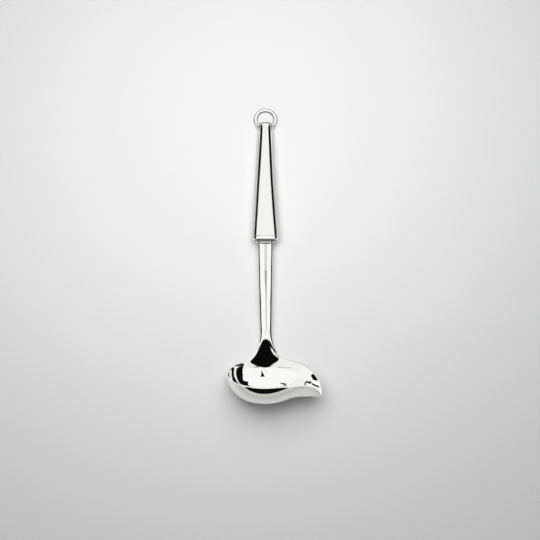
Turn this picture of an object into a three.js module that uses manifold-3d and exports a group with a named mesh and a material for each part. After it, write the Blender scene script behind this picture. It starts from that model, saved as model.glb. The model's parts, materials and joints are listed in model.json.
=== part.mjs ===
// A gravy ladle that lies on a table: a bowl with a side pouring lip, pressed in one piece with its
// neck, shank and tang, an end cap, a hollow tapered handle and a hanging ring that swings in its tip.
// Millimetres, +Z up, +Y towards the ring. Angles are in degrees.
import * as THREE from "three";
import { mergeVertices } from "three/addons/utils/BufferGeometryUtils.js";
import Module from "manifold-3d";

// Bowl: outside sizes, and how it lies on the table. Its rim is cut at a slant, so it leans less.
const BOWL_RADIUS = 34;
const BOWL_DEPTH = 26.2;
const BASE_RADIUS = 6;
const BOWL_WALL = 1.2;
const BOWL_LEAN = 85;
const RIM_LEAN = 73;
const BOWL_TURN = 7;
const BOWL_FROM_HANDLE = 120.5;

// Pouring lip: its bearing round the bowl from +X, how far it reaches past the bowl, how far its edge
// drops below the rim, how widely each spreads over the back and the front flank, and how far down the
// wall each fades out.
const LIP_BEARING = -6.3;
const LIP_REACH = 16.8;
const LIP_DROP = 18.6;
const REACH_SPREAD = { back: 24.8, front: 29.8, tip: 3.5, power: 1.15 };
const DROP_SPREAD = { back: 10.2, front: 11.6, tip: 1, power: 1 };
const LIP_FADE = { end: 0.85, power: 2.06 };
const DROP_FADE = { end: 0.62, power: 1.44 };

// Neck and shank: the neck's place on the rim, the waist above it, and the bar that goes into the handle.
const NECK_BEARING = 95.3;
const NECK_HALF_ANGLE = 29.5;
const NECK_LENGTH = 28;
const NECK_SWEEP = 0.85;
const WAIST_WIDTH = 9.6;
const SHANK_WIDTH = 12.6;
const SHANK_THICKNESS = 3;
const SHANK_CROWN = 0.6;
const CROWN_POWER = 2.5;
const SHANK_STRAIGHT = 3;
const TANG_WIDTH = 9;
const TANG_LENGTH = 24;

// Handle: a hollow cone with a domed tip, whose axis stands this high at its thick end.
const HANDLE_LENGTH = 103.8;
const HANDLE_END_RADIUS = 11.9;
const HANDLE_TIP_RADIUS = 6.35;
const HANDLE_WALL = 1;
const TIP_DOME = 3;
const HANDLE_HEIGHT = 13.9;

// End cap: a polished collar with a domed end, and a spigot inside the handle.
const COLLAR_LENGTH = 2.3;
const CAP_DOME = 3;
const SPIGOT_LENGTH = 6;

// Hanging ring, and the two side holes that it swings in.
const RING_RADIUS = 8.95;
const RING_WIRE = 3;
const HOLE_FROM_TIP = 3.4;
const HOLE_RADIUS = 2.75;

const CLEARANCE = 0.3;

// How finely the round forms are cut into facets.
const ROUND_STEPS = 48;
const LIP_STEPS = 14;
const LIP_CROWDING = 1.7;
const SHOULDER_STEPS = 9;
const BACK_STEPS = 30;
const NECK_COLUMNS = 10;
const WALL_ROWS = 11;
const NECK_ROWS = 8;
const SHANK_ROWS = 12;
const TANG_ROWS = 4;
const EDGE_STEPS = 4;
const DOME_STEPS = 7;
const WIRE_STEPS = 12;

// Long enough for a drill or a slot cutter to go right through.
const CUTTER_LENGTH = 60;

const STEEL_POLISHED = { color: 0xd8d9d8, metalness: 1, roughness: 0.05 };
const STEEL_SATIN = { color: 0xd2d3d1, metalness: 1, roughness: 0.28 };

const rad = THREE.MathUtils.degToRad;
const X_AXIS = new THREE.Vector3(1, 0, 0);
const vec = (x, y, z) => new THREE.Vector3(x, y, z);

const wasm = await Module();
wasm.setup();

// A closed geometry as a solid that can be joined or cut.
function solidOf(geometry, matrix = new THREE.Matrix4()) {
  const bare = new THREE.BufferGeometry();
  bare.setAttribute("position", geometry.getAttribute("position").clone());
  bare.setIndex(geometry.index);
  const merged = mergeVertices(bare.applyMatrix4(matrix), 1e-4);
  return new wasm.Manifold(
    new wasm.Mesh({
      numProp: 3,
      vertProperties: new Float32Array(merged.getAttribute("position").array),
      triVerts: new Uint32Array(merged.index.array),
    }),
  );
}

function geometryOf(solid) {
  const mesh = solid.getMesh();
  const geometry = new THREE.BufferGeometry();
  geometry.setAttribute("position", new THREE.BufferAttribute(mesh.vertProperties, 3));
  geometry.setIndex(new THREE.BufferAttribute(mesh.triVerts, 1));
  return geometry;
}

function part(name, geometry, finish) {
  const mesh = new THREE.Mesh(geometry, new THREE.MeshStandardMaterial(finish));
  mesh.name = name;
  return mesh;
}

// The handle's axis: it falls from the thick end to the tip, whose shoulder rests on the table.
const handlePitch =
  Math.asin(HANDLE_HEIGHT / Math.hypot(HANDLE_LENGTH - TIP_DOME, HANDLE_TIP_RADIUS)) -
  Math.atan2(HANDLE_TIP_RADIUS, HANDLE_LENGTH - TIP_DOME);
const handleStart = vec(0, 0, HANDLE_HEIGHT);
const handleAxis = vec(0, 1, 0).applyAxisAngle(X_AXIS, -handlePitch);
const onHandleAxis = (along) => handleStart.clone().addScaledVector(handleAxis, along);

// The directions of the bowl and of its rim: right across, out of the opening, and back towards the neck.
const bowlTurn = new THREE.Matrix4().makeRotationY(-rad(BOWL_TURN));
const across = X_AXIS.clone().applyMatrix4(bowlTurn);
const leaning = (lean) => vec(0, Math.sin(rad(lean)), Math.cos(rad(lean))).applyMatrix4(bowlTurn);
const bowlOut = leaning(BOWL_LEAN);
const bowlBack = bowlOut.clone().cross(across);
const rimOut = leaning(RIM_LEAN);
const rimBack = rimOut.clone().cross(across);
const rimRise = (BOWL_RADIUS - BOWL_WALL) * Math.sin(rad(BOWL_LEAN - RIM_LEAN));

// A hump that is 1 at the lip and fades over its two flanks.
function hump(bearing, spread) {
  const off = THREE.MathUtils.euclideanModulo(bearing - LIP_BEARING + 180, 360) - 180;
  const rounded = Math.hypot(off, spread.tip) - spread.tip;
  return Math.exp(-Math.pow(rounded / (off > 0 ? spread.back : spread.front), spread.power));
}

// What is left of a lip's reach or drop some way down the wall.
const fade = (down, { end, power }) => Math.max(0, 1 - down / end) ** power;

// The inside of the bowl at a bearing, from the rim (down = 0) to the edge of the flat base (down = 1).
function bowlInside(bearing, down) {
  const [east, south] = [Math.cos(rad(bearing)), Math.sin(rad(bearing))];
  const wide = BOWL_RADIUS - BOWL_WALL - BASE_RADIUS;
  const deep = BOWL_DEPTH - BOWL_WALL;
  const turn = THREE.MathUtils.lerp(-Math.asin((rimRise * south) / deep), Math.PI / 2, down);
  const radius = BASE_RADIUS + wide * Math.cos(turn);
  const reach = LIP_REACH * hump(bearing, REACH_SPREAD) * fade(down, LIP_FADE);
  const drop = LIP_DROP * hump(bearing, DROP_SPREAD) * fade(down, DROP_FADE);
  return vec(0, 0, 0)
    .addScaledVector(across, (radius + reach) * east)
    .addScaledVector(bowlBack, radius * south)
    .addScaledVector(bowlOut, -deep * Math.sin(turn))
    .addScaledVector(rimBack, reach * south)
    .addScaledVector(rimOut, -drop);
}

// The direction up the bowl's wall at the rim.
function upWall(bearing) {
  const nearRim = 0.01;
  return bowlInside(bearing, 0).sub(bowlInside(bearing, nearRim)).normalize();
}

// Bearings once round the bowl, from the neck's right side: close together at the lip.
function bearings() {
  const neckRight = NECK_BEARING - NECK_HALF_ANGLE;
  const neckLeft = NECK_BEARING + NECK_HALF_ANGLE;
  const lip = 360 + LIP_BEARING;
  const front = 2 * REACH_SPREAD.front;
  const back = REACH_SPREAD.back;
  const evenly = (from, to, steps) =>
    Array.from({ length: steps }, (_, i) => THREE.MathUtils.lerp(from, to, i / steps));
  const flank = evenly(0, 1, LIP_STEPS).map((share) => share ** LIP_CROWDING);
  return [
    ...evenly(neckRight, neckLeft, NECK_COLUMNS),
    ...evenly(neckLeft, lip - front, BACK_STEPS),
    lip - front,
    ...flank.slice(1).reverse().map((share) => lip - front * share),
    ...flank.map((share) => lip + back * share),
    ...evenly(lip + back, 360 + neckRight, SHOULDER_STEPS),
  ];
}

// One skin of the pressing: the bowl's inside and the top of its neck, shank and tang, with the
// thickness of the metal at each point.
function pressingSkin() {
  const round = bearings();
  const count = round.length;
  const points = [];
  const thickness = [];
  const faces = [];
  const quad = (a, b, c, d) => faces.push([a, b, c], [a, c, d]);

  for (let row = 0; row <= WALL_ROWS; row++)
    for (const bearing of round) {
      points.push(bowlInside(bearing, row / WALL_ROWS));
      thickness.push(BOWL_WALL);
    }
  const base = points.push(bowlOut.clone().multiplyScalar(BOWL_WALL - BOWL_DEPTH)) - 1;
  thickness.push(BOWL_WALL);
  for (let row = 0; row < WALL_ROWS; row++)
    for (let i = 0; i < count; i++) {
      const next = (i + 1) % count;
      quad(row * count + i, row * count + next, (row + 1) * count + next, (row + 1) * count + i);
    }
  for (let i = 0; i < count; i++)
    faces.push([WALL_ROWS * count + i, WALL_ROWS * count + ((i + 1) % count), base]);

  // The bowl stands on the table at the lowest point of its outside.
  const lowest = Math.min(...points.map((p) => p.z)) - BOWL_WALL;
  const centre = vec(0, -BOWL_FROM_HANDLE, -lowest);
  points.forEach((p) => p.add(centre));

  // The top of the shank bows from the neck to the end cap, then runs straight along the handle's axis.
  const top = vec(0, 0, 1).applyAxisAngle(X_AXIS, -handlePitch).multiplyScalar(SHANK_THICKNESS / 2);
  const straight = COLLAR_LENGTH + CAP_DOME + CLEARANCE + SHANK_STRAIGHT;
  const neckFoot = bowlInside(NECK_BEARING, 0).add(centre);
  const shankEnd = onHandleAxis(-straight).add(top);
  const pull = neckFoot.distanceTo(shankEnd) / 3;
  const bow = new THREE.CubicBezierCurve3(
    neckFoot,
    neckFoot.clone().addScaledVector(upWall(NECK_BEARING), pull),
    shankEnd.clone().addScaledVector(handleAxis, -pull),
    shankEnd,
  );
  const waist = NECK_LENGTH / bow.getLength();
  const sideways = (column) => 1 - (2 * column) / NECK_COLUMNS;

  // A straight row across the shank, a little crowned, as wide as its rounded edges leave.
  function shankRow(middle, width) {
    const half = (width - SHANK_THICKNESS) / 2;
    return Array.from({ length: NECK_COLUMNS + 1 }, (_, column) => {
      const s = sideways(column);
      return middle.clone().add(vec(half * s, 0, -SHANK_CROWN * Math.abs(s) ** CROWN_POWER));
    });
  }

  // The neck sweeps from the rim into the waist: up the wall in the middle, along the rim at its sides.
  const waistRow = shankRow(bow.getPointAt(waist), WAIST_WIDTH);
  const waistPull = bow.getTangentAt(waist).multiplyScalar(NECK_LENGTH);
  function neckRow(t) {
    const [t2, t3] = [t * t, t * t * t];
    return waistRow.map((end, column) => {
      const s = sideways(column);
      const bearing = round[column];
      const alongRim = bowlInside(bearing + Math.sign(s), 0).sub(bowlInside(bearing, 0)).normalize();
      const leave = upWall(bearing).lerp(alongRim, NECK_SWEEP * Math.abs(s) ** 3).multiplyScalar(NECK_LENGTH);
      return points[column]
        .clone()
        .multiplyScalar(2 * t3 - 3 * t2 + 1)
        .addScaledVector(leave, t3 - 2 * t2 + t)
        .addScaledVector(end, 3 * t2 - 2 * t3)
        .addScaledVector(waistPull, t3 - t2);
    });
  }

  const rows = [];
  for (let i = 1; i <= NECK_ROWS; i++) {
    const t = i / NECK_ROWS;
    const swell = t * t * (3 - 2 * t);
    rows.push([neckRow(t), THREE.MathUtils.lerp(BOWL_WALL, SHANK_THICKNESS, swell)]);
  }
  for (let i = 1; i <= SHANK_ROWS; i++) {
    const t = i / SHANK_ROWS;
    const middle = bow.getPointAt(THREE.MathUtils.lerp(waist, 1, t));
    rows.push([shankRow(middle, THREE.MathUtils.lerp(WAIST_WIDTH, SHANK_WIDTH, t)), SHANK_THICKNESS]);
  }
  for (let i = 1; i <= TANG_ROWS; i++) {
    const t = i / TANG_ROWS;
    const middle = shankEnd.clone().addScaledVector(handleAxis, t * (straight + TANG_LENGTH));
    const width = t < 1 ? SHANK_WIDTH : TANG_WIDTH;
    rows.push([shankRow(middle, width), SHANK_THICKNESS]);
  }
  let before = Array.from({ length: NECK_COLUMNS + 1 }, (_, column) => column);
  for (const [row, thick] of rows) {
    const now = row.map((p) => points.push(p) - 1);
    row.forEach(() => thickness.push(thick));
    for (let c = 0; c < NECK_COLUMNS; c++) quad(before[c], now[c], now[c + 1], before[c + 1]);
    before = now;
  }
  return { points, thickness, faces };
}

// Gives a skin its thickness, away from the side that its faces look to, with half-round edges.
function thicken({ points, thickness, faces }) {
  const skin = new THREE.BufferGeometry().setFromPoints(points);
  skin.setIndex(faces.flat());
  skin.computeVertexNormals();
  const normals = points.map((_, i) => vec(0, 0, 0).fromBufferAttribute(skin.getAttribute("normal"), i));
  const edges = new Map();
  for (const [a, b, c] of faces)
    for (const [from, to] of [[a, b], [b, c], [c, a]])
      if (!edges.delete(to + " " + from)) edges.set(from + " " + to, [from, to]);

  const out = points.map((p) => p.clone());
  const below = points.map((p, i) => out.push(p.clone().addScaledVector(normals[i], -thickness[i])) - 1);
  const solid = faces.concat(faces.map(([a, b, c]) => [below[a], below[c], below[b]]));

  const sidewards = new Map();
  for (const [from, to] of edges.values()) {
    const along = points[to].clone().sub(points[from]).normalize();
    for (const end of [from, to]) {
      const side = along.clone().cross(normals[end]);
      sidewards.set(end, side.add(sidewards.get(end) ?? vec(0, 0, 0)));
    }
  }
  const rounding = new Map();
  for (const [i, side] of sidewards) {
    side.normalize();
    const strip = [i];
    for (let step = 1; step < EDGE_STEPS; step++) {
      const turn = (Math.PI * step) / EDGE_STEPS;
      const p = points[i].clone().addScaledVector(normals[i], (thickness[i] / 2) * (Math.cos(turn) - 1));
      strip.push(out.push(p.addScaledVector(side, (thickness[i] / 2) * Math.sin(turn))) - 1);
    }
    rounding.set(i, [...strip, below[i]]);
  }
  for (const [from, to] of edges.values()) {
    const [a, b] = [rounding.get(from), rounding.get(to)];
    for (let step = 0; step < EDGE_STEPS; step++)
      solid.push([b[step], a[step], a[step + 1]], [b[step], a[step + 1], b[step + 1]]);
  }
  const geometry = new THREE.BufferGeometry().setFromPoints(out);
  return geometry.setIndex(solid.flat());
}

// A solid of revolution round the handle's axis, from an outline of [radius, height] that meets the axis
// at both ends.
function turned(outline) {
  return new THREE.LatheGeometry(outline.map(([r, y]) => new THREE.Vector2(r, y)), ROUND_STEPS);
}

// A cone with an elliptical dome, as used for the handle's outside and for its hollow.
function domedCone(startRadius, tipRadius, start, end, dome) {
  const outline = [[0, start], [startRadius, start]];
  for (let i = 0; i < DOME_STEPS; i++) {
    const turn = (i / DOME_STEPS) * (Math.PI / 2);
    outline.push([tipRadius * Math.cos(turn), end - dome + dome * Math.sin(turn)]);
  }
  outline.push([0, end]);
  return turned(outline);
}

const boreRadius = HANDLE_END_RADIUS - HANDLE_WALL;
const holeAlong = HANDLE_LENGTH - HOLE_FROM_TIP;

function handleTube() {
  const outside = solidOf(
    domedCone(HANDLE_END_RADIUS, HANDLE_TIP_RADIUS, 0, HANDLE_LENGTH, TIP_DOME),
  );
  const taper = (HANDLE_END_RADIUS - HANDLE_TIP_RADIUS) / (HANDLE_LENGTH - TIP_DOME);
  const inside = solidOf(
    domedCone(
      boreRadius + taper * HANDLE_WALL,
      HANDLE_TIP_RADIUS - HANDLE_WALL,
      -HANDLE_WALL,
      HANDLE_LENGTH - HANDLE_WALL,
      TIP_DOME,
    ),
  );
  const drill = new THREE.CylinderGeometry(HOLE_RADIUS, HOLE_RADIUS, CUTTER_LENGTH, ROUND_STEPS / 2);
  const sideways = new THREE.Matrix4().makeRotationZ(Math.PI / 2).setPosition(0, holeAlong, 0);
  return geometryOf(outside.subtract(inside).subtract(solidOf(drill, sideways)));
}

function endCap() {
  const spigotRadius = boreRadius - CLEARANCE;
  const collarEnd = -CLEARANCE - COLLAR_LENGTH;
  const outline = [[0, collarEnd - CAP_DOME]];
  for (let i = 1; i <= DOME_STEPS; i++) {
    const turn = (i / DOME_STEPS) * (Math.PI / 2);
    outline.push([HANDLE_END_RADIUS * Math.sin(turn), collarEnd - CAP_DOME * Math.cos(turn)]);
  }
  outline.push([HANDLE_END_RADIUS, -CLEARANCE], [spigotRadius, -CLEARANCE]);
  outline.push([spigotRadius - CLEARANCE, SPIGOT_LENGTH], [0, SPIGOT_LENGTH]);
  const slot = new THREE.BoxGeometry(
    SHANK_WIDTH + 2 * CLEARANCE,
    CUTTER_LENGTH,
    SHANK_THICKNESS + 2 * (CLEARANCE + SHANK_CROWN),
  );
  return geometryOf(solidOf(turned(outline)).subtract(solidOf(slot)));
}

// The ring's wire crosses the tip's wall at the hinge line; it lies with its far side on the table.
const wallRadius = HANDLE_TIP_RADIUS - HANDLE_WALL / 2;
const ringOffset = Math.sqrt(RING_RADIUS ** 2 - wallRadius ** 2);
const hinge = onHandleAxis(holeAlong);
const ringSlope = Math.asin((hinge.z - RING_WIRE / 2) / (ringOffset + RING_RADIUS));

const ladle = new THREE.Group();
ladle.add(part("bowl_and_shank", thicken(pressingSkin()), STEEL_POLISHED));

const handle = new THREE.Group();
handle.position.copy(handleStart);
handle.rotation.x = -handlePitch;
handle.add(part("handle_tube", handleTube(), STEEL_SATIN));
handle.add(part("end_cap", endCap(), STEEL_POLISHED));
ladle.add(handle);

const ring = part(
  "hanging_ring",
  new THREE.TorusGeometry(RING_RADIUS, RING_WIRE / 2, WIRE_STEPS, ROUND_STEPS),
  STEEL_POLISHED,
);
ring.geometry.translate(0, ringOffset, 0);
ring.position.copy(hinge);
ring.rotation.x = -ringSlope;
ladle.add(ring);

// The part's origin is under the middle of its box, on the table.
const box = new THREE.Box3().setFromObject(ladle, true);
const middle = box.getCenter(vec(0, 0, 0));
ladle.position.set(-middle.x, -middle.y, -box.min.z);

export default ladle;
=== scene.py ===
# %% [markdown]
# A gravy ladle of stainless steel, lying on a pale table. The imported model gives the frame: every piece below
# sits exactly where its solid sits. The solids are cut into facets, and a mirror finish shows every facet, so
# each piece is modelled again here as a smooth surface that stands for its solid.

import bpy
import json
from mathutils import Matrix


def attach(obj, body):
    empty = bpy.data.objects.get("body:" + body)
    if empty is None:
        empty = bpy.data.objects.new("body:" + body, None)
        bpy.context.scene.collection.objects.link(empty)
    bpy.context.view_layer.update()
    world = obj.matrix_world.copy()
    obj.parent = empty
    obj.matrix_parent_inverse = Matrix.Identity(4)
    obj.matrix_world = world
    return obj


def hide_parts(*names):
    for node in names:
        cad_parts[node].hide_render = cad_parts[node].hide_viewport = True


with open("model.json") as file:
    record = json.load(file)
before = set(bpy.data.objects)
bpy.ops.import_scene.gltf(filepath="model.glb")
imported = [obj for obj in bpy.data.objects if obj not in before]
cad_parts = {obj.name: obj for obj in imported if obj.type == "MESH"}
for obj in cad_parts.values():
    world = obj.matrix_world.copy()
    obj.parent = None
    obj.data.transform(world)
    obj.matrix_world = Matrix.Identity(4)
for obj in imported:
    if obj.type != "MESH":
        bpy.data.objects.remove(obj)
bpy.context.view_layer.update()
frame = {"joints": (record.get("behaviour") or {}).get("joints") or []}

# %% Names used all through
import json
from math import asin, atan2, cos, degrees, exp, hypot, pi, radians, sin, sqrt

import bmesh
import bpy
import numpy as np
from mathutils import Matrix, Vector

MM = 0.001
WELD = MM / 100
SMOOTH_ANGLE = radians(32)


def only(piece):
    """Deselects everything and makes this piece the active one."""
    bpy.ops.object.select_all(action="DESELECT")
    piece.select_set(True)
    bpy.context.view_layer.objects.active = piece


def apply_modifier(piece, kind, **settings):
    """Adds a modifier with its settings and applies it."""
    only(piece)
    modifier = piece.modifiers.new(kind.title(), kind)
    for name, value in settings.items():
        setattr(modifier, name, value)
    bpy.ops.object.modifier_apply(modifier=modifier.name)


print("lengths are in mm, and points within", WELD / MM, "mm are welded")

# %% [markdown]
# The handle's axis comes first, because everything else is set out from it. The handle lies with its domed
# tip on the table and its thick end held up by the bowed shank, so its axis falls towards the tip. The hinge
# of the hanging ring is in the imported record, and the rest follows from it.

# %% Handle axis
HANDLE_LENGTH = 103.8
HANDLE_END_RADIUS = 11.9
HANDLE_TIP_RADIUS = 6.35
HANDLE_WALL = 1
TIP_DOME = 3
HANDLE_HEIGHT = 13.9
HOLE_FROM_TIP = 3.4
HOLE_RADIUS = 2.75
CLEARANCE = 0.3

cone_length = HANDLE_LENGTH - TIP_DOME
hole_along = HANDLE_LENGTH - HOLE_FROM_TIP
tip_angle = atan2(HANDLE_TIP_RADIUS, cone_length)
handle_pitch = asin(HANDLE_HEIGHT / hypot(cone_length, HANDLE_TIP_RADIUS)) - tip_angle
handle_axis = Vector((0, cos(handle_pitch), -sin(handle_pitch)))
hinge = Vector(frame["joints"][0]["pos_m"]) / MM
handle_start = hinge - hole_along * handle_axis
# A turned piece is drawn round Z: this lays Z along the handle's axis.
ALONG_HANDLE = Matrix.Translation(handle_start * MM) @ Matrix.Rotation(-pi / 2 - handle_pitch, 4, "X")
print("handle starts at", [round(v, 2) for v in handle_start], "mm, pitch", round(degrees(handle_pitch), 2))

# %% [markdown]
# The bowl is drawn from sheet: a round wall that runs down to a small flat, with one side pulled out and
# down into a pouring lip. It could be sculpted, but the same few numbers that shape the solid also give the
# wall at any bearing and depth, so the wall is extruded ring by ring and each new ring is put on that
# formula. The bowl leans, so it gets its own three directions: across its mouth, back to the neck, and out
# of the mouth.

# %% Bowl's form
BOWL_RADIUS = 34
BOWL_DEPTH = 26.2
BASE_RADIUS = 6
BOWL_WALL = 1.2
BOWL_LEAN = 85
RIM_LEAN = 73
BOWL_TURN = 7
BOWL_FROM_HANDLE = 120.5
LIP_BEARING = -6.3
LIP_REACH = 16.8
LIP_DROP = 18.6
REACH_SPREAD = {"back": 24.8, "front": 29.8, "tip": 3.5, "power": 1.15}
DROP_SPREAD = {"back": 10.2, "front": 11.6, "tip": 1, "power": 1}
LIP_FADE = {"end": 0.85, "power": 2.06}
DROP_FADE = {"end": 0.62, "power": 1.44}

bowl_turn = Matrix.Rotation(radians(-BOWL_TURN), 3, "Y")
across = bowl_turn @ Vector((1, 0, 0))


def out_of_mouth(lean):
    """The direction out of a mouth that leans so many degrees from level."""
    return bowl_turn @ Vector((0, sin(radians(lean)), cos(radians(lean))))


bowl_out, rim_out = out_of_mouth(BOWL_LEAN), out_of_mouth(RIM_LEAN)
bowl_back, rim_back = bowl_out.cross(across), rim_out.cross(across)
rim_rise = (BOWL_RADIUS - BOWL_WALL) * sin(radians(BOWL_LEAN - RIM_LEAN))
print("the bowl's mouth faces", [round(v, 2) for v in bowl_out])

# %% Formula of the bowl's wall
DEPTH_STEPS = 40


def mix(a, b, t):
    """The value a share t of the way from a to b."""
    return a + (b - a) * t


def hump(bearing, spread):
    """1 at the lip, fading over its two flanks."""
    off = (bearing - LIP_BEARING + 180) % 360 - 180
    rounded = hypot(off, spread["tip"]) - spread["tip"]
    return exp(-((rounded / spread["back" if off > 0 else "front"]) ** spread["power"]))


def bowl_inside(bearing, down):
    """A point inside the bowl, from the rim (down = 0) to the edge of the flat base (down = 1), in mm."""
    b = radians(bearing)
    deep = BOWL_DEPTH - BOWL_WALL
    turn = mix(-asin(rim_rise * sin(b) / deep), pi / 2, down)
    radius = BASE_RADIUS + (BOWL_RADIUS - BOWL_WALL - BASE_RADIUS) * cos(turn)
    reach = LIP_REACH * hump(bearing, REACH_SPREAD) * max(0, 1 - down / LIP_FADE["end"]) ** LIP_FADE["power"]
    drop = LIP_DROP * hump(bearing, DROP_SPREAD) * max(0, 1 - down / DROP_FADE["end"]) ** DROP_FADE["power"]
    wall = radius * (cos(b) * across + sin(b) * bowl_back) - deep * sin(turn) * bowl_out
    return wall + reach * (cos(b) * across + sin(b) * rim_back) - drop * rim_out


lowest = min(bowl_inside(b, d / DEPTH_STEPS).z for b in range(360) for d in range(DEPTH_STEPS + 1))
bowl_centre = Vector((handle_start.x, handle_start.y - BOWL_FROM_HANDLE, BOWL_WALL - lowest))
print("bowl's centre", [round(v, 2) for v in bowl_centre], "mm")

# %% Bearings round the rim
NECK_BEARING = 95.3
NECK_HALF_ANGLE = 29.5
NECK_COLUMNS = 16
RIM_COLUMNS = 90
LIP_CROWDING = 6
LIP_CROWD_WIDTH = 13
FINE_STEPS = 4000

neck_right = NECK_BEARING - NECK_HALF_ANGLE
neck_left = NECK_BEARING + NECK_HALF_ANGLE


def neck_bearing(c):
    """The bearing of a column of the neck."""
    return neck_right + c * 2 * NECK_HALF_ANGLE / NECK_COLUMNS


# The columns stand closer together at the lip, where the rim turns most.
fine = np.linspace(neck_left, neck_right + 360, FINE_STEPS + 1)
density = 1 + LIP_CROWDING * np.exp(-(((fine - LIP_BEARING - 360) / LIP_CROWD_WIDTH) ** 2))
share = np.concatenate([[0], np.cumsum((density[1:] + density[:-1]) / 2)])
rest = np.interp(np.arange(RIM_COLUMNS) / RIM_COLUMNS * share[-1], share, fine)
bearings = [neck_bearing(c) for c in range(NECK_COLUMNS)] + rest.tolist()
print(len(bearings), "columns, closest", round(float(np.diff(rest).min()), 2), "degrees apart")

# %% Bowl's wall, ring by ring
WALL_ROWS = 14
BASE_RINGS = [0.7, 0.35]

bpy.ops.object.select_all(action="DESELECT")
bpy.ops.mesh.primitive_circle_add(vertices=len(bearings), radius=BOWL_RADIUS * MM)
pressing = bpy.context.object
pressing.name = "polished_bowl_and_shank"
bpy.ops.object.mode_set(mode="EDIT")
bm = bmesh.from_edit_mesh(pressing.data)
column = bm.verts.layers.int.new("column")
thick = bm.verts.layers.deform.verify()
thick_group = pressing.vertex_groups.new(name="thick")
bm.verts.ensure_lookup_table()
for i, v in enumerate(bm.verts):
    v[column] = i
    v.co = (bowl_centre + bowl_inside(bearings[i], 0)) * MM


def extrude_row(place):
    """Extrudes the selected edges and puts each new point where place(column) says, in mm."""
    bpy.ops.mesh.extrude_edges_move(TRANSFORM_OT_translate={"value": (0, 0, 0)})
    for v in bm.verts:
        if v.select:
            v.co = place(v[column]) * MM


bpy.ops.mesh.select_all(action="SELECT")
for row in range(1, WALL_ROWS + 1):
    extrude_row(lambda c: bowl_centre + bowl_inside(bearings[c], row / WALL_ROWS))
base_centre = bowl_centre - (BOWL_DEPTH - BOWL_WALL) * bowl_out
for ring in BASE_RINGS:
    extrude_row(lambda c: base_centre.lerp(bowl_centre + bowl_inside(bearings[c], 1), ring))
bpy.ops.mesh.edge_face_add()
bmesh.update_edit_mesh(pressing.data)
print("bowl has", len(bm.faces), "faces")

# %% [markdown]
# The neck is the same sheet: it leaves the rim over a sixth of its length, draws in to a waist and becomes
# the shank, a thicker bar that bows up to the handle. By hand this is an extrusion of the rim's back edges,
# row after row. In the middle a row leaves straight up the bowl's wall, and at the sides it leaves along the
# rim, so the reflections run from the bowl into the neck without a crease.

# %% Path of the shank
NECK_LENGTH = 28
NECK_SWEEP = 0.85
WAIST_WIDTH = 10.8
SHANK_WIDTH = 13.4
SHANK_THICKNESS = 3
SHANK_CROWN = 0.8
CROWN_POWER = 5
SHANK_STRAIGHT = 3
TANG_LENGTH = 24
COLLAR_LENGTH = 2.3
CAP_DOME = 3
DOWN_STEP = 0.01
BOW_STEPS = 400


def up_wall(bearing):
    """The direction up the bowl's wall at the rim."""
    return (bowl_inside(bearing, 0) - bowl_inside(bearing, DOWN_STEP)).normalized()


straight = COLLAR_LENGTH + CAP_DOME + CLEARANCE + SHANK_STRAIGHT
neck_foot = bowl_centre + bowl_inside(NECK_BEARING, 0)
shank_top = Vector((0, sin(handle_pitch), cos(handle_pitch))) * (SHANK_THICKNESS / 2)
shank_end = handle_start - straight * handle_axis + shank_top
pull = (shank_end - neck_foot).length / 3
bow = [neck_foot, neck_foot + pull * up_wall(NECK_BEARING), shank_end - pull * handle_axis, shank_end]


def bow_point(t):
    """A point of the curve that the shank's top follows."""
    weights = ((1 - t) ** 3, 3 * t * (1 - t) ** 2, 3 * t * t * (1 - t), t**3)
    return sum((w * p for w, p in zip(weights, bow)), Vector())


steps = [i / BOW_STEPS for i in range(BOW_STEPS + 1)]
lengths = np.cumsum([0] + [(bow_point(b) - bow_point(a)).length for a, b in zip(steps, steps[1:])])


def bow_at(part):
    """The point at a part of the curve's length, from 0 to 1."""
    return bow_point(float(np.interp(part * lengths[-1], lengths, steps)))


waist = NECK_LENGTH / lengths[-1]
print("shank is", round(float(lengths[-1]), 1), "mm long from the rim to the cap")

# %% Rows across the neck and shank
WAIST_STEP = 0.001


def sideways(c):
    """1 at the neck's right edge, 0 in its middle, -1 at its left edge."""
    return 1 - 2 * c / NECK_COLUMNS


def shank_row(middle, width):
    """A row across the shank, a little crowned, as wide as its rounded edges leave."""
    half = (width - SHANK_THICKNESS) / 2
    return lambda c: middle + Vector((half * sideways(c), 0, -SHANK_CROWN * abs(sideways(c)) ** CROWN_POWER))


waist_row = shank_row(bow_at(waist), WAIST_WIDTH)
waist_pull = (bow_at(waist + WAIST_STEP) - bow_at(waist - WAIST_STEP)).normalized() * NECK_LENGTH


def neck_row(t):
    """A row of the neck between the rim (t = 0) and the waist (t = 1)."""

    def place(c):
        s = sideways(c)
        bearing = neck_bearing(c)
        start = bowl_inside(bearing, 0)
        along_rim = (bowl_inside(bearing + (s > 0) - (s < 0), 0) - start).normalized()
        leave = up_wall(bearing).lerp(along_rim, NECK_SWEEP * abs(s) ** 3) * NECK_LENGTH
        return (
            (2 * t**3 - 3 * t**2 + 1) * (bowl_centre + start)
            + (t**3 - 2 * t**2 + t) * leave
            + (3 * t**2 - 2 * t**3) * waist_row(c)
            + (t**3 - t**2) * waist_pull
        )

    return place


print("waist", WAIST_WIDTH, "mm wide,", NECK_LENGTH, "mm from the rim")

# %% Neck, shank and tang
NECK_ROWS = 12
SHANK_ROWS = 20
TANG_ROWS = 6

bpy.ops.mesh.select_all(action="DESELECT")
bpy.ops.mesh.select_mode(type="EDGE")
for edge in bm.edges:
    edge.select_set(edge.is_boundary and all(v[column] <= NECK_COLUMNS for v in edge.verts))
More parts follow.
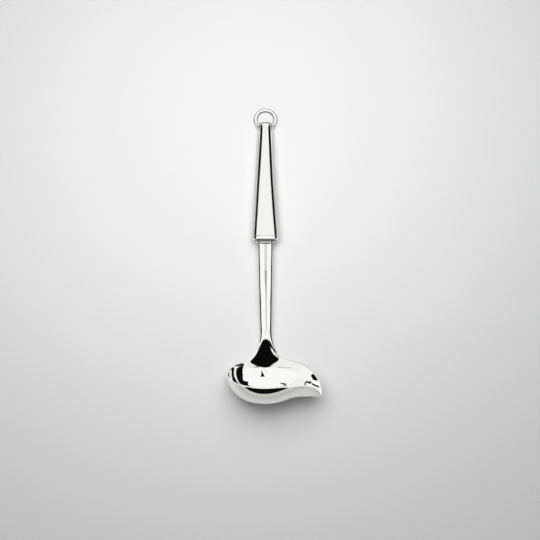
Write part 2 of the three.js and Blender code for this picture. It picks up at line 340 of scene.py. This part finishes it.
# Each row has its place and how far the sheet has swelled there to the shank's thickness.
rows = []
for i in range(1, NECK_ROWS + 1):
    t = i / NECK_ROWS
    rows.append((neck_row(t), t**2 * (3 - 2 * t)))
for i in range(1, SHANK_ROWS + 1):
    t = i / SHANK_ROWS
    rows.append((shank_row(bow_at(mix(waist, 1, t)), mix(WAIST_WIDTH, SHANK_WIDTH, t)), 1))
for i in range(1, TANG_ROWS + 1):
    middle = shank_end + i / TANG_ROWS * (straight + TANG_LENGTH) * handle_axis
    rows.append((shank_row(middle, SHANK_WIDTH), 1))
for place, swell in rows:
    extrude_row(place)
    for v in bm.verts:
        if v.select:
            v[thick][thick_group.index] = swell
bpy.ops.mesh.select_mode(type="VERT")
print("skin has", len(bm.faces), "faces")

# %% Room for the rounded edge
# The half-round edge stands out past the skin by half the sheet's thickness, so the skin's open edge is moved
# out by that much, square to the edge and along the surface.
bm.normal_update()
edge_moves = {}
for edge in bm.edges:
    if edge.is_boundary:
        face = edge.link_faces[0]
        along = (edge.verts[1].co - edge.verts[0].co).normalized()
        side = along.cross(face.normal).normalized()
        if side.dot(edge.verts[0].co - face.calc_center_median()) < 0:
            side.negate()
        for v in edge.verts:
            edge_moves[v] = edge_moves.get(v, Vector()) + side
for v, side in edge_moves.items():
    swell = v[thick].get(thick_group.index, 0)
    v.co += side.normalized() * mix(BOWL_WALL, SHANK_THICKNESS, swell) / 2 * MM
bmesh.update_edit_mesh(pressing.data)
bpy.ops.mesh.select_all(action="SELECT")
bpy.ops.mesh.normals_make_consistent(inside=False)
bpy.ops.object.mode_set(mode="OBJECT")
print("moved", len(edge_moves), "points of the open edge")

# %% [markdown]
# So far the pressing is a skin with no thickness: the inside of the bowl and the top of the shank. Solidify
# gives it the sheet's thickness on the other side, thin at the bowl and thick at the shank. The polisher
# breaks every edge, so the edges are bevelled until they are half round, and a subdivision surface makes the
# whole smooth enough for a mirror.

# %% Thickness and rounded edges
EDGE_SHARE = 0.46
EDGE_SEGMENTS = 2
SHARP = 60
SMOOTH_LEVELS = 2

apply_modifier(
    pressing,
    "SOLIDIFY",
    thickness=SHANK_THICKNESS * MM,
    offset=1,
    use_even_offset=True,
    use_quality_normals=True,
    vertex_group="thick",
    thickness_vertex_group=BOWL_WALL / SHANK_THICKNESS,
)
bm = bmesh.new()
bm.from_mesh(pressing.data)
thick = bm.verts.layers.deform.verify()
bevel = bm.edges.layers.float.new("bevel_weight_edge")
for edge in bm.edges:
    if edge.calc_face_angle(0) > radians(SHARP):
        swell = sum(v[thick].get(thick_group.index, 0) for v in edge.verts) / 2
        edge[bevel] = mix(BOWL_WALL / SHANK_THICKNESS, 1, swell)
bm.to_mesh(pressing.data)
bm.free()
apply_modifier(
    pressing,
    "BEVEL",
    width=EDGE_SHARE * SHANK_THICKNESS * MM,
    segments=EDGE_SEGMENTS,
    limit_method="WEIGHT",
    use_clamp_overlap=False,
)
apply_modifier(pressing, "SUBSURF", levels=SMOOTH_LEVELS, render_levels=SMOOTH_LEVELS)
only(pressing)
bpy.ops.object.shade_smooth()
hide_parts("bowl_and_shank")
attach(pressing, "ladle")
print("pressing has", sum(len(p.vertices) - 2 for p in pressing.data.polygons), "triangles")

# %% [markdown]
# The handle, the end cap and the ring are round, so they are turned: an outline is drawn beside the axis and
# spun once round it. A screw modifier would do as well, but the spin keeps the outline in plain view.

# %% A turned piece
SPIN_STEPS = 144


def spin_round(steps):
    """Spins the outline that is being edited once round Z, welds it shut and faces it outwards."""
    bpy.ops.mesh.select_all(action="SELECT")
    bpy.ops.mesh.spin(steps=steps, angle=2 * pi, center=(0, 0, 0), axis=(0, 0, 1))
    bpy.ops.mesh.select_all(action="SELECT")
    bpy.ops.mesh.remove_doubles(threshold=WELD)
    bpy.ops.mesh.normals_make_consistent(inside=False)
    bpy.ops.object.mode_set(mode="OBJECT")


def turned(name, outline, closed):
    """Spins an outline of (radius, along) in mm round Z, and lays the piece along the handle's axis."""
    bpy.ops.object.select_all(action="DESELECT")
    bpy.ops.mesh.primitive_plane_add(size=MM)
    piece = bpy.context.object
    piece.name = name
    bpy.ops.object.mode_set(mode="EDIT")
    bpy.ops.mesh.merge(type="CENTER")
    points = [Vector((r, 0, along)) * MM for r, along in outline]
    if closed:
        points.append(points[0])
    bpy.ops.transform.translate(value=points[0])
    for a, b in zip(points, points[1:]):
        bpy.ops.mesh.extrude_vertices_move(TRANSFORM_OT_translate={"value": b - a})
    spin_round(SPIN_STEPS)
    piece.matrix_world = ALONG_HANDLE
    only(piece)
    bpy.ops.object.transform_apply(location=True, rotation=True, scale=True)
    return piece


def quarter(steps):
    """Angles of a quarter turn, from 0 to 90 degrees."""
    return [i / steps * pi / 2 for i in range(steps + 1)]


print("a turned piece has", SPIN_STEPS, "sides")

# %% [markdown]
# The handle is a tube drawn to a taper and closed over at its tip in a low dome, with two holes for the ring.
# Its outline runs up the outside, over the dome and back down the inside, so that it has a real wall where
# the holes show it.

# %% Handle
DOME_STEPS = 12
EDGE_ROUND = 0.25
EDGE_STEPS = 3
CONE_PARTS = (0.05, 0.5, 0.85)
HOLE_SIDES = 64

taper = (HANDLE_END_RADIUS - HANDLE_TIP_RADIUS) / cone_length
stations = [EDGE_ROUND, 2 * EDGE_ROUND]
stations += [part * cone_length for part in CONE_PARTS]
stations += [cone_length - 2 * HOLE_RADIUS]
outline = [(HANDLE_END_RADIUS - EDGE_ROUND, 0)]
for a in quarter(EDGE_STEPS)[1:-1]:
    outline.append((HANDLE_END_RADIUS - EDGE_ROUND * (1 - sin(a)), EDGE_ROUND * (1 - cos(a))))
outline += [(HANDLE_END_RADIUS - taper * along, along) for along in stations]
outline += [(HANDLE_TIP_RADIUS * cos(a), cone_length + TIP_DOME * sin(a)) for a in quarter(DOME_STEPS)]
bore_tip = HANDLE_TIP_RADIUS - HANDLE_WALL
bore_length = cone_length - HANDLE_WALL
outline += [(bore_tip * cos(a), bore_length + TIP_DOME * sin(a)) for a in quarter(DOME_STEPS)[::-1]]
outline += [(HANDLE_END_RADIUS - HANDLE_WALL, 0)]
handle = turned("satin_handle", outline, closed=True)

bpy.ops.object.select_all(action="DESELECT")
bpy.ops.mesh.primitive_cylinder_add(
    vertices=HOLE_SIDES,
    radius=HOLE_RADIUS * MM,
    depth=4 * HANDLE_TIP_RADIUS * MM,
    location=hinge * MM,
    rotation=(0, pi / 2, 0),
)
drill = bpy.context.object
apply_modifier(handle, "BOOLEAN", object=drill, operation="DIFFERENCE", solver="EXACT")
bpy.data.objects.remove(drill)
only(handle)
bpy.ops.object.shade_smooth_by_angle(angle=SMOOTH_ANGLE)
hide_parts("handle_tube")
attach(handle, "ladle")
print("handle has", len(handle.data.polygons), "faces")

# %% [markdown]
# The end cap closes the handle's thick end: a short polished collar and a dome that the shank goes into.
# On the real one the shank is welded in and polished over, so here the shank simply enters the dome.

# %% End cap
SPIGOT_LENGTH = 6
CAP_STEPS = 16

collar_end = -CLEARANCE - COLLAR_LENGTH
spigot = HANDLE_END_RADIUS - HANDLE_WALL - CLEARANCE
outline = [(HANDLE_END_RADIUS * sin(a), collar_end - CAP_DOME * cos(a)) for a in quarter(CAP_STEPS)]
for a in quarter(EDGE_STEPS):
    radius = HANDLE_END_RADIUS - EDGE_ROUND * (1 - cos(a))
    outline.append((radius, -CLEARANCE - EDGE_ROUND * (1 - sin(a))))
outline += [(spigot, -CLEARANCE), (spigot - CLEARANCE, SPIGOT_LENGTH), (0, SPIGOT_LENGTH)]
cap = turned("polished_end_cap", outline, closed=False)
only(cap)
bpy.ops.object.shade_smooth_by_angle(angle=SMOOTH_ANGLE)
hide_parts("end_cap")
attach(cap, "ladle")
print("cap has", len(cap.data.polygons), "faces")

# %% [markdown]
# The hanging ring is round wire bent to a ring. A circle the size of the wire is spun once round the ring's
# middle, then the ring is tipped about its hinge until its far side lies on the table.

# %% Hanging ring
RING_RADIUS = 8.95
RING_WIRE = 3
WIRE_SIDES = 32
RING_STEPS = 120

wall_radius = HANDLE_TIP_RADIUS - HANDLE_WALL / 2
ring_offset = sqrt(RING_RADIUS**2 - wall_radius**2)
ring_slope = asin((hinge.z - RING_WIRE / 2) / (ring_offset + RING_RADIUS))
bpy.ops.object.select_all(action="DESELECT")
bpy.ops.mesh.primitive_circle_add(
    vertices=WIRE_SIDES,
    radius=RING_WIRE / 2 * MM,
    location=(RING_RADIUS * MM, 0, 0),
    rotation=(pi / 2, 0, 0),
)
ring = bpy.context.object
ring.name = "polished_ring"
bpy.ops.object.transform_apply(location=True, rotation=True)
bpy.ops.object.mode_set(mode="EDIT")
spin_round(RING_STEPS)
tipped = Matrix.Rotation(-ring_slope, 4, "X")
ring.matrix_world = Matrix.Translation(hinge * MM) @ tipped @ Matrix.Translation((0, ring_offset * MM, 0))
only(ring)
bpy.ops.object.transform_apply(location=True, rotation=True)
bpy.ops.object.shade_smooth()
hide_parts("hanging_ring")
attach(ring, "ring")
print("ring has", len(ring.data.polygons), "faces, slope", round(degrees(ring_slope), 1))

# %% [markdown]
# Finishes. Colours are written as sRGB hex values, as on a screen, and Blender's shaders work in linear
# light, so one function turns them over. Another adds a node, sets it up and links it.

# %% Colour and node helpers


def linear(hex_colour):
    """An sRGB hex value as linear RGBA."""
    channels = [int(hex_colour[i : i + 2], 16) / 255 for i in (0, 2, 4)]
    return [c / 12.92 if c <= 0.04045 else ((c + 0.055) / 1.055) ** 2.4 for c in channels] + [1]


def node(tree, kind, inputs=None, **settings):
    """Adds a node, sets its options, and gives each input a value or a link."""
    new = tree.nodes.new(kind)
    for name, value in settings.items():
        setattr(new, name, value)
    for name, value in (inputs or {}).items():
        if isinstance(value, bpy.types.NodeSocket):
            tree.links.new(value, new.inputs[name])
        else:
            new.inputs[name].default_value = value
    return new


def new_material(name):
    """A material with an empty node tree, and its output node."""
    material = bpy.data.materials.new(name)
    material.use_nodes = True
    material.node_tree.nodes.clear()
    return material, material.node_tree, node(material.node_tree, "ShaderNodeOutputMaterial")


print("mid grey is", round(linear("808080")[0], 3), "in linear light")

# %% [markdown]
# Stainless steel, buffed to a mirror. To the eye it has almost no colour of its own: it is what it reflects,
# a shade darker and warmer. Buffing leaves a faint cloudiness some millimetres wide and fine lines along the
# stroke, both in the roughness only.

# %% Mirror-polished stainless steel
CLOUD_MM = 7
STROKE_MM = 0.35
STROKE_LENGTH = 40
POLISH_NOISE = {"From Min": 0.1, "From Max": 0.4}
POLISH_ROUGHNESS = {"To Min": 0.02, "To Max": 0.05}

polished_steel, tree, output = new_material("mirror_polished_stainless_steel")
place = node(tree, "ShaderNodeTexCoord").outputs["Object"]
clouds = node(tree, "ShaderNodeTexNoise", {"Vector": place, "Scale": 1 / (CLOUD_MM * MM), "Detail": 3})
stroke_space = node(tree, "ShaderNodeMapping", {"Vector": place, "Scale": (1, 1 / STROKE_LENGTH, 1)})
strokes = node(
    tree,
    "ShaderNodeTexNoise",
    {"Vector": stroke_space.outputs[0], "Scale": 1 / (STROKE_MM * MM), "Detail": 2},
)
both = node(
    tree,
    "ShaderNodeMath",
    {0: clouds.outputs["Fac"], 1: strokes.outputs["Fac"]},
    operation="MULTIPLY",
)
roughness = node(tree, "ShaderNodeMapRange", {"Value": both.outputs[0], **POLISH_NOISE, **POLISH_ROUGHNESS})
shader = node(
    tree,
    "ShaderNodeBsdfPrincipled",
    {"Base Color": linear("F5F5F3"), "Metallic": 1, "Roughness": roughness.outputs[0]},
)
tree.links.new(shader.outputs[0], output.inputs["Surface"])
for piece in (pressing, cap, ring):
    piece.data.materials.append(polished_steel)
print("polished pieces:", [piece.name for piece in (pressing, cap, ring)])

# %% [markdown]
# The handle is the same steel with a fine satin: it was brushed along its length, so reflections keep their
# place but lose their hard edge.

# %% Satin stainless steel
BRUSH_MM = 0.3
BRUSH_LENGTH = 30
BRUSH_NOISE = {"From Min": 0.3, "From Max": 0.7}
BRUSH_ROUGHNESS = {"To Min": 0.08, "To Max": 0.16}

satin_steel, tree, output = new_material("satin_stainless_steel")
place = node(tree, "ShaderNodeTexCoord").outputs["Object"]
brush_space = node(tree, "ShaderNodeMapping", {"Vector": place, "Scale": (1, 1 / BRUSH_LENGTH, 1)})
brush = node(
    tree,
    "ShaderNodeTexNoise",
    {"Vector": brush_space.outputs[0], "Scale": 1 / (BRUSH_MM * MM), "Detail": 3},
)
roughness = node(tree, "ShaderNodeMapRange", {"Value": brush.outputs["Fac"], **BRUSH_NOISE, **BRUSH_ROUGHNESS})
shader = node(
    tree,
    "ShaderNodeBsdfPrincipled",
    {"Base Color": linear("EFEFED"), "Metallic": 1, "Roughness": roughness.outputs[0]},
)
tree.links.new(shader.outputs[0], output.inputs["Surface"])
handle.data.materials.append(satin_steel)
print("satin piece:", handle.name)

# %% [markdown]
# The ladle lies on a sheet of matt white paper, so the table is one large plane. A cove that curves up behind
# would hide its far edge, but the photograph looks straight down and needs none.

# %% Table
TABLE_METRES = 4

bpy.ops.object.select_all(action="DESELECT")
bpy.ops.mesh.primitive_plane_add(size=TABLE_METRES)
table = bpy.context.object
table.name = "paper_table"
paper, tree, output = new_material("matt_white_paper")
shader = node(
    tree,
    "ShaderNodeBsdfPrincipled",
    {"Base Color": linear("F0F0F0"), "Roughness": 0.9, "Specular IOR Level": 0.1},
)
tree.links.new(shader.outputs[0], output.inputs["Surface"])
table.data.materials.append(paper)
print("table", TABLE_METRES, "m wide")

# %% [markdown]
# A polished ladle shows what stands round it more than itself, and photographers shape that with black and
# white cards, called flags. What stood round this ladle isn't known, so these flags are made up: each outline
# is set so that its image falls where the photograph has a dark shape or line. Such shapes could be painted
# on the steel, but paint would stay put as the view goes round. A flag is flat and square to one axis. It
# isn't like a real card in two ways: only mirrored rays see it, so the camera looks through it and it throws
# no shadow, and some flags stand inside the bowl or close beside the shank.

# %% A flag
BLACK, WHITE = "0C0C0C", "FFFFFF"
HIDDEN_FROM = ("camera", "diffuse", "transmission", "volume_scatter", "shadow")


def flag(name, shade, axis, at, corners, one_sided=False):
    """A card square to an axis, at a place on it, with its corners on the other two axes, in mm."""
    card, tree, output = new_material("card_" + name)
    shader = node(tree, "ShaderNodeEmission", {"Color": linear(shade), "Strength": 1})
    if one_sided:
        behind = node(tree, "ShaderNodeNewGeometry").outputs["Backfacing"]
        clear = node(tree, "ShaderNodeBsdfTransparent")
        shader = node(tree, "ShaderNodeMixShader", {0: behind, 1: shader.outputs[0], 2: clear.outputs[0]})
    tree.links.new(shader.outputs[0], output.inputs["Surface"])
    place = "XYZ".index(axis)
    points = [Vector((*corner[:place], at, *corner[place:])) * MM for corner in corners]
    mesh = bpy.data.meshes.new("flag_" + name)
    mesh.from_pydata(points, [], [range(len(points))])
    mesh.materials.append(card)
    piece = bpy.data.objects.new(mesh.name, mesh)
    bpy.context.collection.objects.link(piece)
    for ray in HIDDEN_FROM:
        setattr(piece, "visible_" + ray, False)
    print("flag", name, "square to", axis)


print("flags are hidden from", HIDDEN_FROM)

# %% Flags for the bowl
# The one-sided ones are clear from behind, so that only one wall of the bowl shows them.
NECK_PATCH = [(-10.5, 18.5), (-2.5, 18.5), (1, 33), (0, 43), (-3, 50), (-3.5, 58.5), (-6, 58)]
NECK_PATCH += [(-11.5, 55.5), (-13.5, 50), (-13.5, 42)]
LEFT_STRIPES = [(-111, 15.5), (-102.5, 15.5), (-97.5, 12.5), (-94, 16.5)]
LEFT_STRIPES += [(-89.5, 11), (-95.5, 4), (-109, 5.5)]
MIDDLE_TRIANGLE = [(-7.5, 27), (-5, 26.5), (-3, 38.5), (8, 83), (5.5, 83), (-5.5, 38.5)]
BACK_RIM = [(0, 2), (40, 2), (40, 16), (17, 16), (15, 13), (0, 13)]
FRONT_RIM = [(-440, 100), (165, 100), (165, 290), (-440, 290)]
BELOW_FRONT_RIM = [(-900, 0), (900, 0), (900, 100), (-900, 100)]

flag("neck", BLACK, "Y", -112, NECK_PATCH)
flag("left_wall", BLACK, "X", 0.2, LEFT_STRIPES, one_sided=True)
flag("middle", BLACK, "Y", -97, MIDDLE_TRIANGLE, one_sided=True)
flag("back_rim", BLACK, "Y", -74, BACK_RIM, one_sided=True)
flag("front_rim", BLACK, "Y", -425, FRONT_RIM)
flag("below_front_rim", "C8C8C5", "Y", -430, BELOW_FRONT_RIM)

# %% Flags for the pouring lip
LIP_OVAL = [(-103.5, 29.5), (-100, 32), (-90, 43), (-80, 58), (-92.5, 52), (-100.5, 39), (-102.5, 34.5)]
LIP_SEAM = [(165, 5), (225, 100), (255, 138), (282, 138), (258, 62), (228, 5)]
LIP_SEAM_END = [(-108, 35.5), (-79, 90), (-79.5, 94), (-97, 58.5), (-108.5, 37.5)]
LIP_TABLE = [(-44, -52), (-50, -58), (-425, 320), (-410, 345)]

flag("lip_oval", BLACK, "X", 24, LIP_OVAL, one_sided=True)
flag("lip_seam", BLACK, "X", -300, LIP_SEAM)
flag("lip_seam_end", BLACK, "X", 28, LIP_SEAM_END, one_sided=True)
flag("lip_table", BLACK, "Z", 0.4, LIP_TABLE)

# %% Flags for the shank
SHANK_SIDE = [(-72, 5), (-45, 10), (-14, 11.5), (12, 11), (12, 17.5), (-14, 18.5), (-45, 17), (-72, 12)]
LEFT_FLARE = [(-78, 9), (-80.5, 7.5), (-80.5, 3.5)]
RIGHT_FLARE = [(-84, 9), (-90, 6.5), (-90, 3), (-80, 3)]
SHANK_FLAG_OUT = 10.05
SHANK_MIDDLE = [(-17, -25), (3, -25), (-3, -200), (-5, -700), (-10, -700), (-11.5, -200)]
SHANK_TOP = [(-17, 200), (3, 200), (3, -25), (-17, -25)]

flag("shank_left", BLACK, "X", handle_start.x - SHANK_FLAG_OUT, SHANK_SIDE + LEFT_FLARE)
right_side = (SHANK_SIDE + RIGHT_FLARE)[::-1]
flag("shank_right", BLACK, "X", handle_start.x + SHANK_FLAG_OUT, right_side, one_sided=True)
flag("shank_middle", "A0A09E", "Z", 1000, SHANK_MIDDLE)
flag("shank_top", "DADAD8", "Z", 1000, SHANK_TOP)

# %% Flags for the cap, handle and ring
CAP_FRONT = [(-19, 17.5), (3.4, 17.5), (3.4, 27), (-19, 27)]
HANDLE_RIGHT = [(12, 17), (12, 22.5), (122, 25.5), (122, 11), (66, 15.5)]
HANDLE_LEFT = [(12, 17.5), (12, 23), (66, 21), (122, 24.5), (122, 11), (66, 13.5)]
RING_TABLE = [(-60, 118), (44, 118), (44, 150), (20, 172), (-36, 172), (-60, 150)]

flag("cap_front", "6A6A68", "Y", 10.6, CAP_FRONT)
flag("handle_right", BLACK, "X", 8, HANDLE_RIGHT)
flag("handle_left", BLACK, "X", -23.7, HANDLE_LEFT)
flag("ring_table", BLACK, "Z", 0.4, RING_TABLE)

# %% Pale cards on the table
LEFT_TABLE = [(-30, -95), (-30, -40), (-120, 60), (-400, 400), (-1500, 1500), (-1500, -95)]
BACK_TABLE = [(24, -60), (700, -60), (700, 900), (-50, 900), (-50, 145), (24, 145)]
HANDLE_TABLE = [(-90, 8), (75, 8), (75, 112), (-90, 112)]

flag("left_table", WHITE, "Z", 0.3, LEFT_TABLE)
flag("back_table", WHITE, "Z", 0.3, BACK_TABLE)
# The grey card beside the handle is painted shade: it darkens the paper that the handle's sides mirror,
# standing in for the shade that the handle leaves on it.
flag("handle_table", "D0D0CE", "Z", 0.35, HANDLE_TABLE)

# %% [markdown]
# The light is soft. A panel close above the handle leaves the paper a little darker towards the bowl, as in
# the photograph, and a wide one high up fills the rest and sets the bowl's shadow. Between the flags the
# metal shows a white tent, which is the world's colour. A real tent would light the paper too and wash that
# shadow out, so this one is bright for the metal only, and the panels are kept out of the metal, where their
# edges would show.

# %% Tent
TENT_IN_METAL = 1.03
TENT_FOR_CAMERA = 0.85
TENT_ON_PAPER = 0.02

world = bpy.data.worlds.new("pale_tent")
bpy.context.scene.world = world
world.use_nodes = True
tree = world.node_tree
tree.nodes.clear()
ray = node(tree, "ShaderNodeLightPath").outputs
direct = node(tree, "ShaderNodeMath", {0: ray["Diffuse Depth"], 1: 1}, operation="LESS_THAN")
mirrored = node(
    tree, "ShaderNodeMath", {0: ray["Is Glossy Ray"], 1: direct.outputs[0]}, operation="MULTIPLY"
)
lit = node(
    tree,
    "ShaderNodeMix",
    {"Factor": mirrored.outputs[0], "A": TENT_ON_PAPER, "B": TENT_IN_METAL},
    data_type="FLOAT",
)
strength = node(
    tree,
    "ShaderNodeMix",
    {"Factor": ray["Is Camera Ray"], "A": lit.outputs[0], "B": TENT_FOR_CAMERA},
    data_type="FLOAT",
)
background = node(tree, "ShaderNodeBackground", {"Color": linear(WHITE), "Strength": strength.outputs[0]})
node(tree, "ShaderNodeOutputWorld", {"Surface": background.outputs[0]})
print("tent", TENT_IN_METAL, "in the metal,", TENT_ON_PAPER, "on the paper")

# %% Panels
PANELS = {
    # name: place, the point that it is aimed at, width and length, all in metres, and power in watts
    "near_panel": ((-0.03, 0.13, 0.47), (-0.02, 0.11, 0), (0.4, 0.3), 1.75),
    "high_panel": ((0, 1.3, 6), (0, 0, 0), (2.4, 2.4), 138),
}

for name, (place, aim, size, power) in PANELS.items():
    light = bpy.data.lights.new(name, "AREA")
    light.shape = "RECTANGLE"
    light.size, light.size_y = size
    light.energy = power
    panel = bpy.data.objects.new(name, light)
    bpy.context.collection.objects.link(panel)
    panel.location = place
    panel.rotation_euler = (Vector(aim) - Vector(place)).to_track_quat("-Z", "Y").to_euler()
    panel.visible_glossy = False
    print(name, power, "W")

# %% [markdown]
# The photograph looks straight down, with the handle up. Its frame is 486 mm wide a little above the table,
# seen from about a metre, which is what sets the lens.

# %% Camera
CAMERA_ABOVE = (-3.76, -14.7)
CAMERA_HEIGHT = 1012
FRAME_WIDTH = 486
FRAME_HEIGHT_ABOVE_TABLE = 12

camera_data = bpy.data.cameras.new("overhead")
camera_data.sensor_fit = "HORIZONTAL"
camera_data.angle = 2 * atan2(FRAME_WIDTH / 2, CAMERA_HEIGHT - FRAME_HEIGHT_ABOVE_TABLE)
camera = bpy.data.objects.new("overhead", camera_data)
bpy.context.collection.objects.link(camera)
camera.location = Vector((*CAMERA_ABOVE, CAMERA_HEIGHT)) * MM
bpy.context.scene.camera = camera
bpy.context.scene.view_settings.view_transform = "Standard"
print("lens", round(camera_data.lens, 1), "mm")
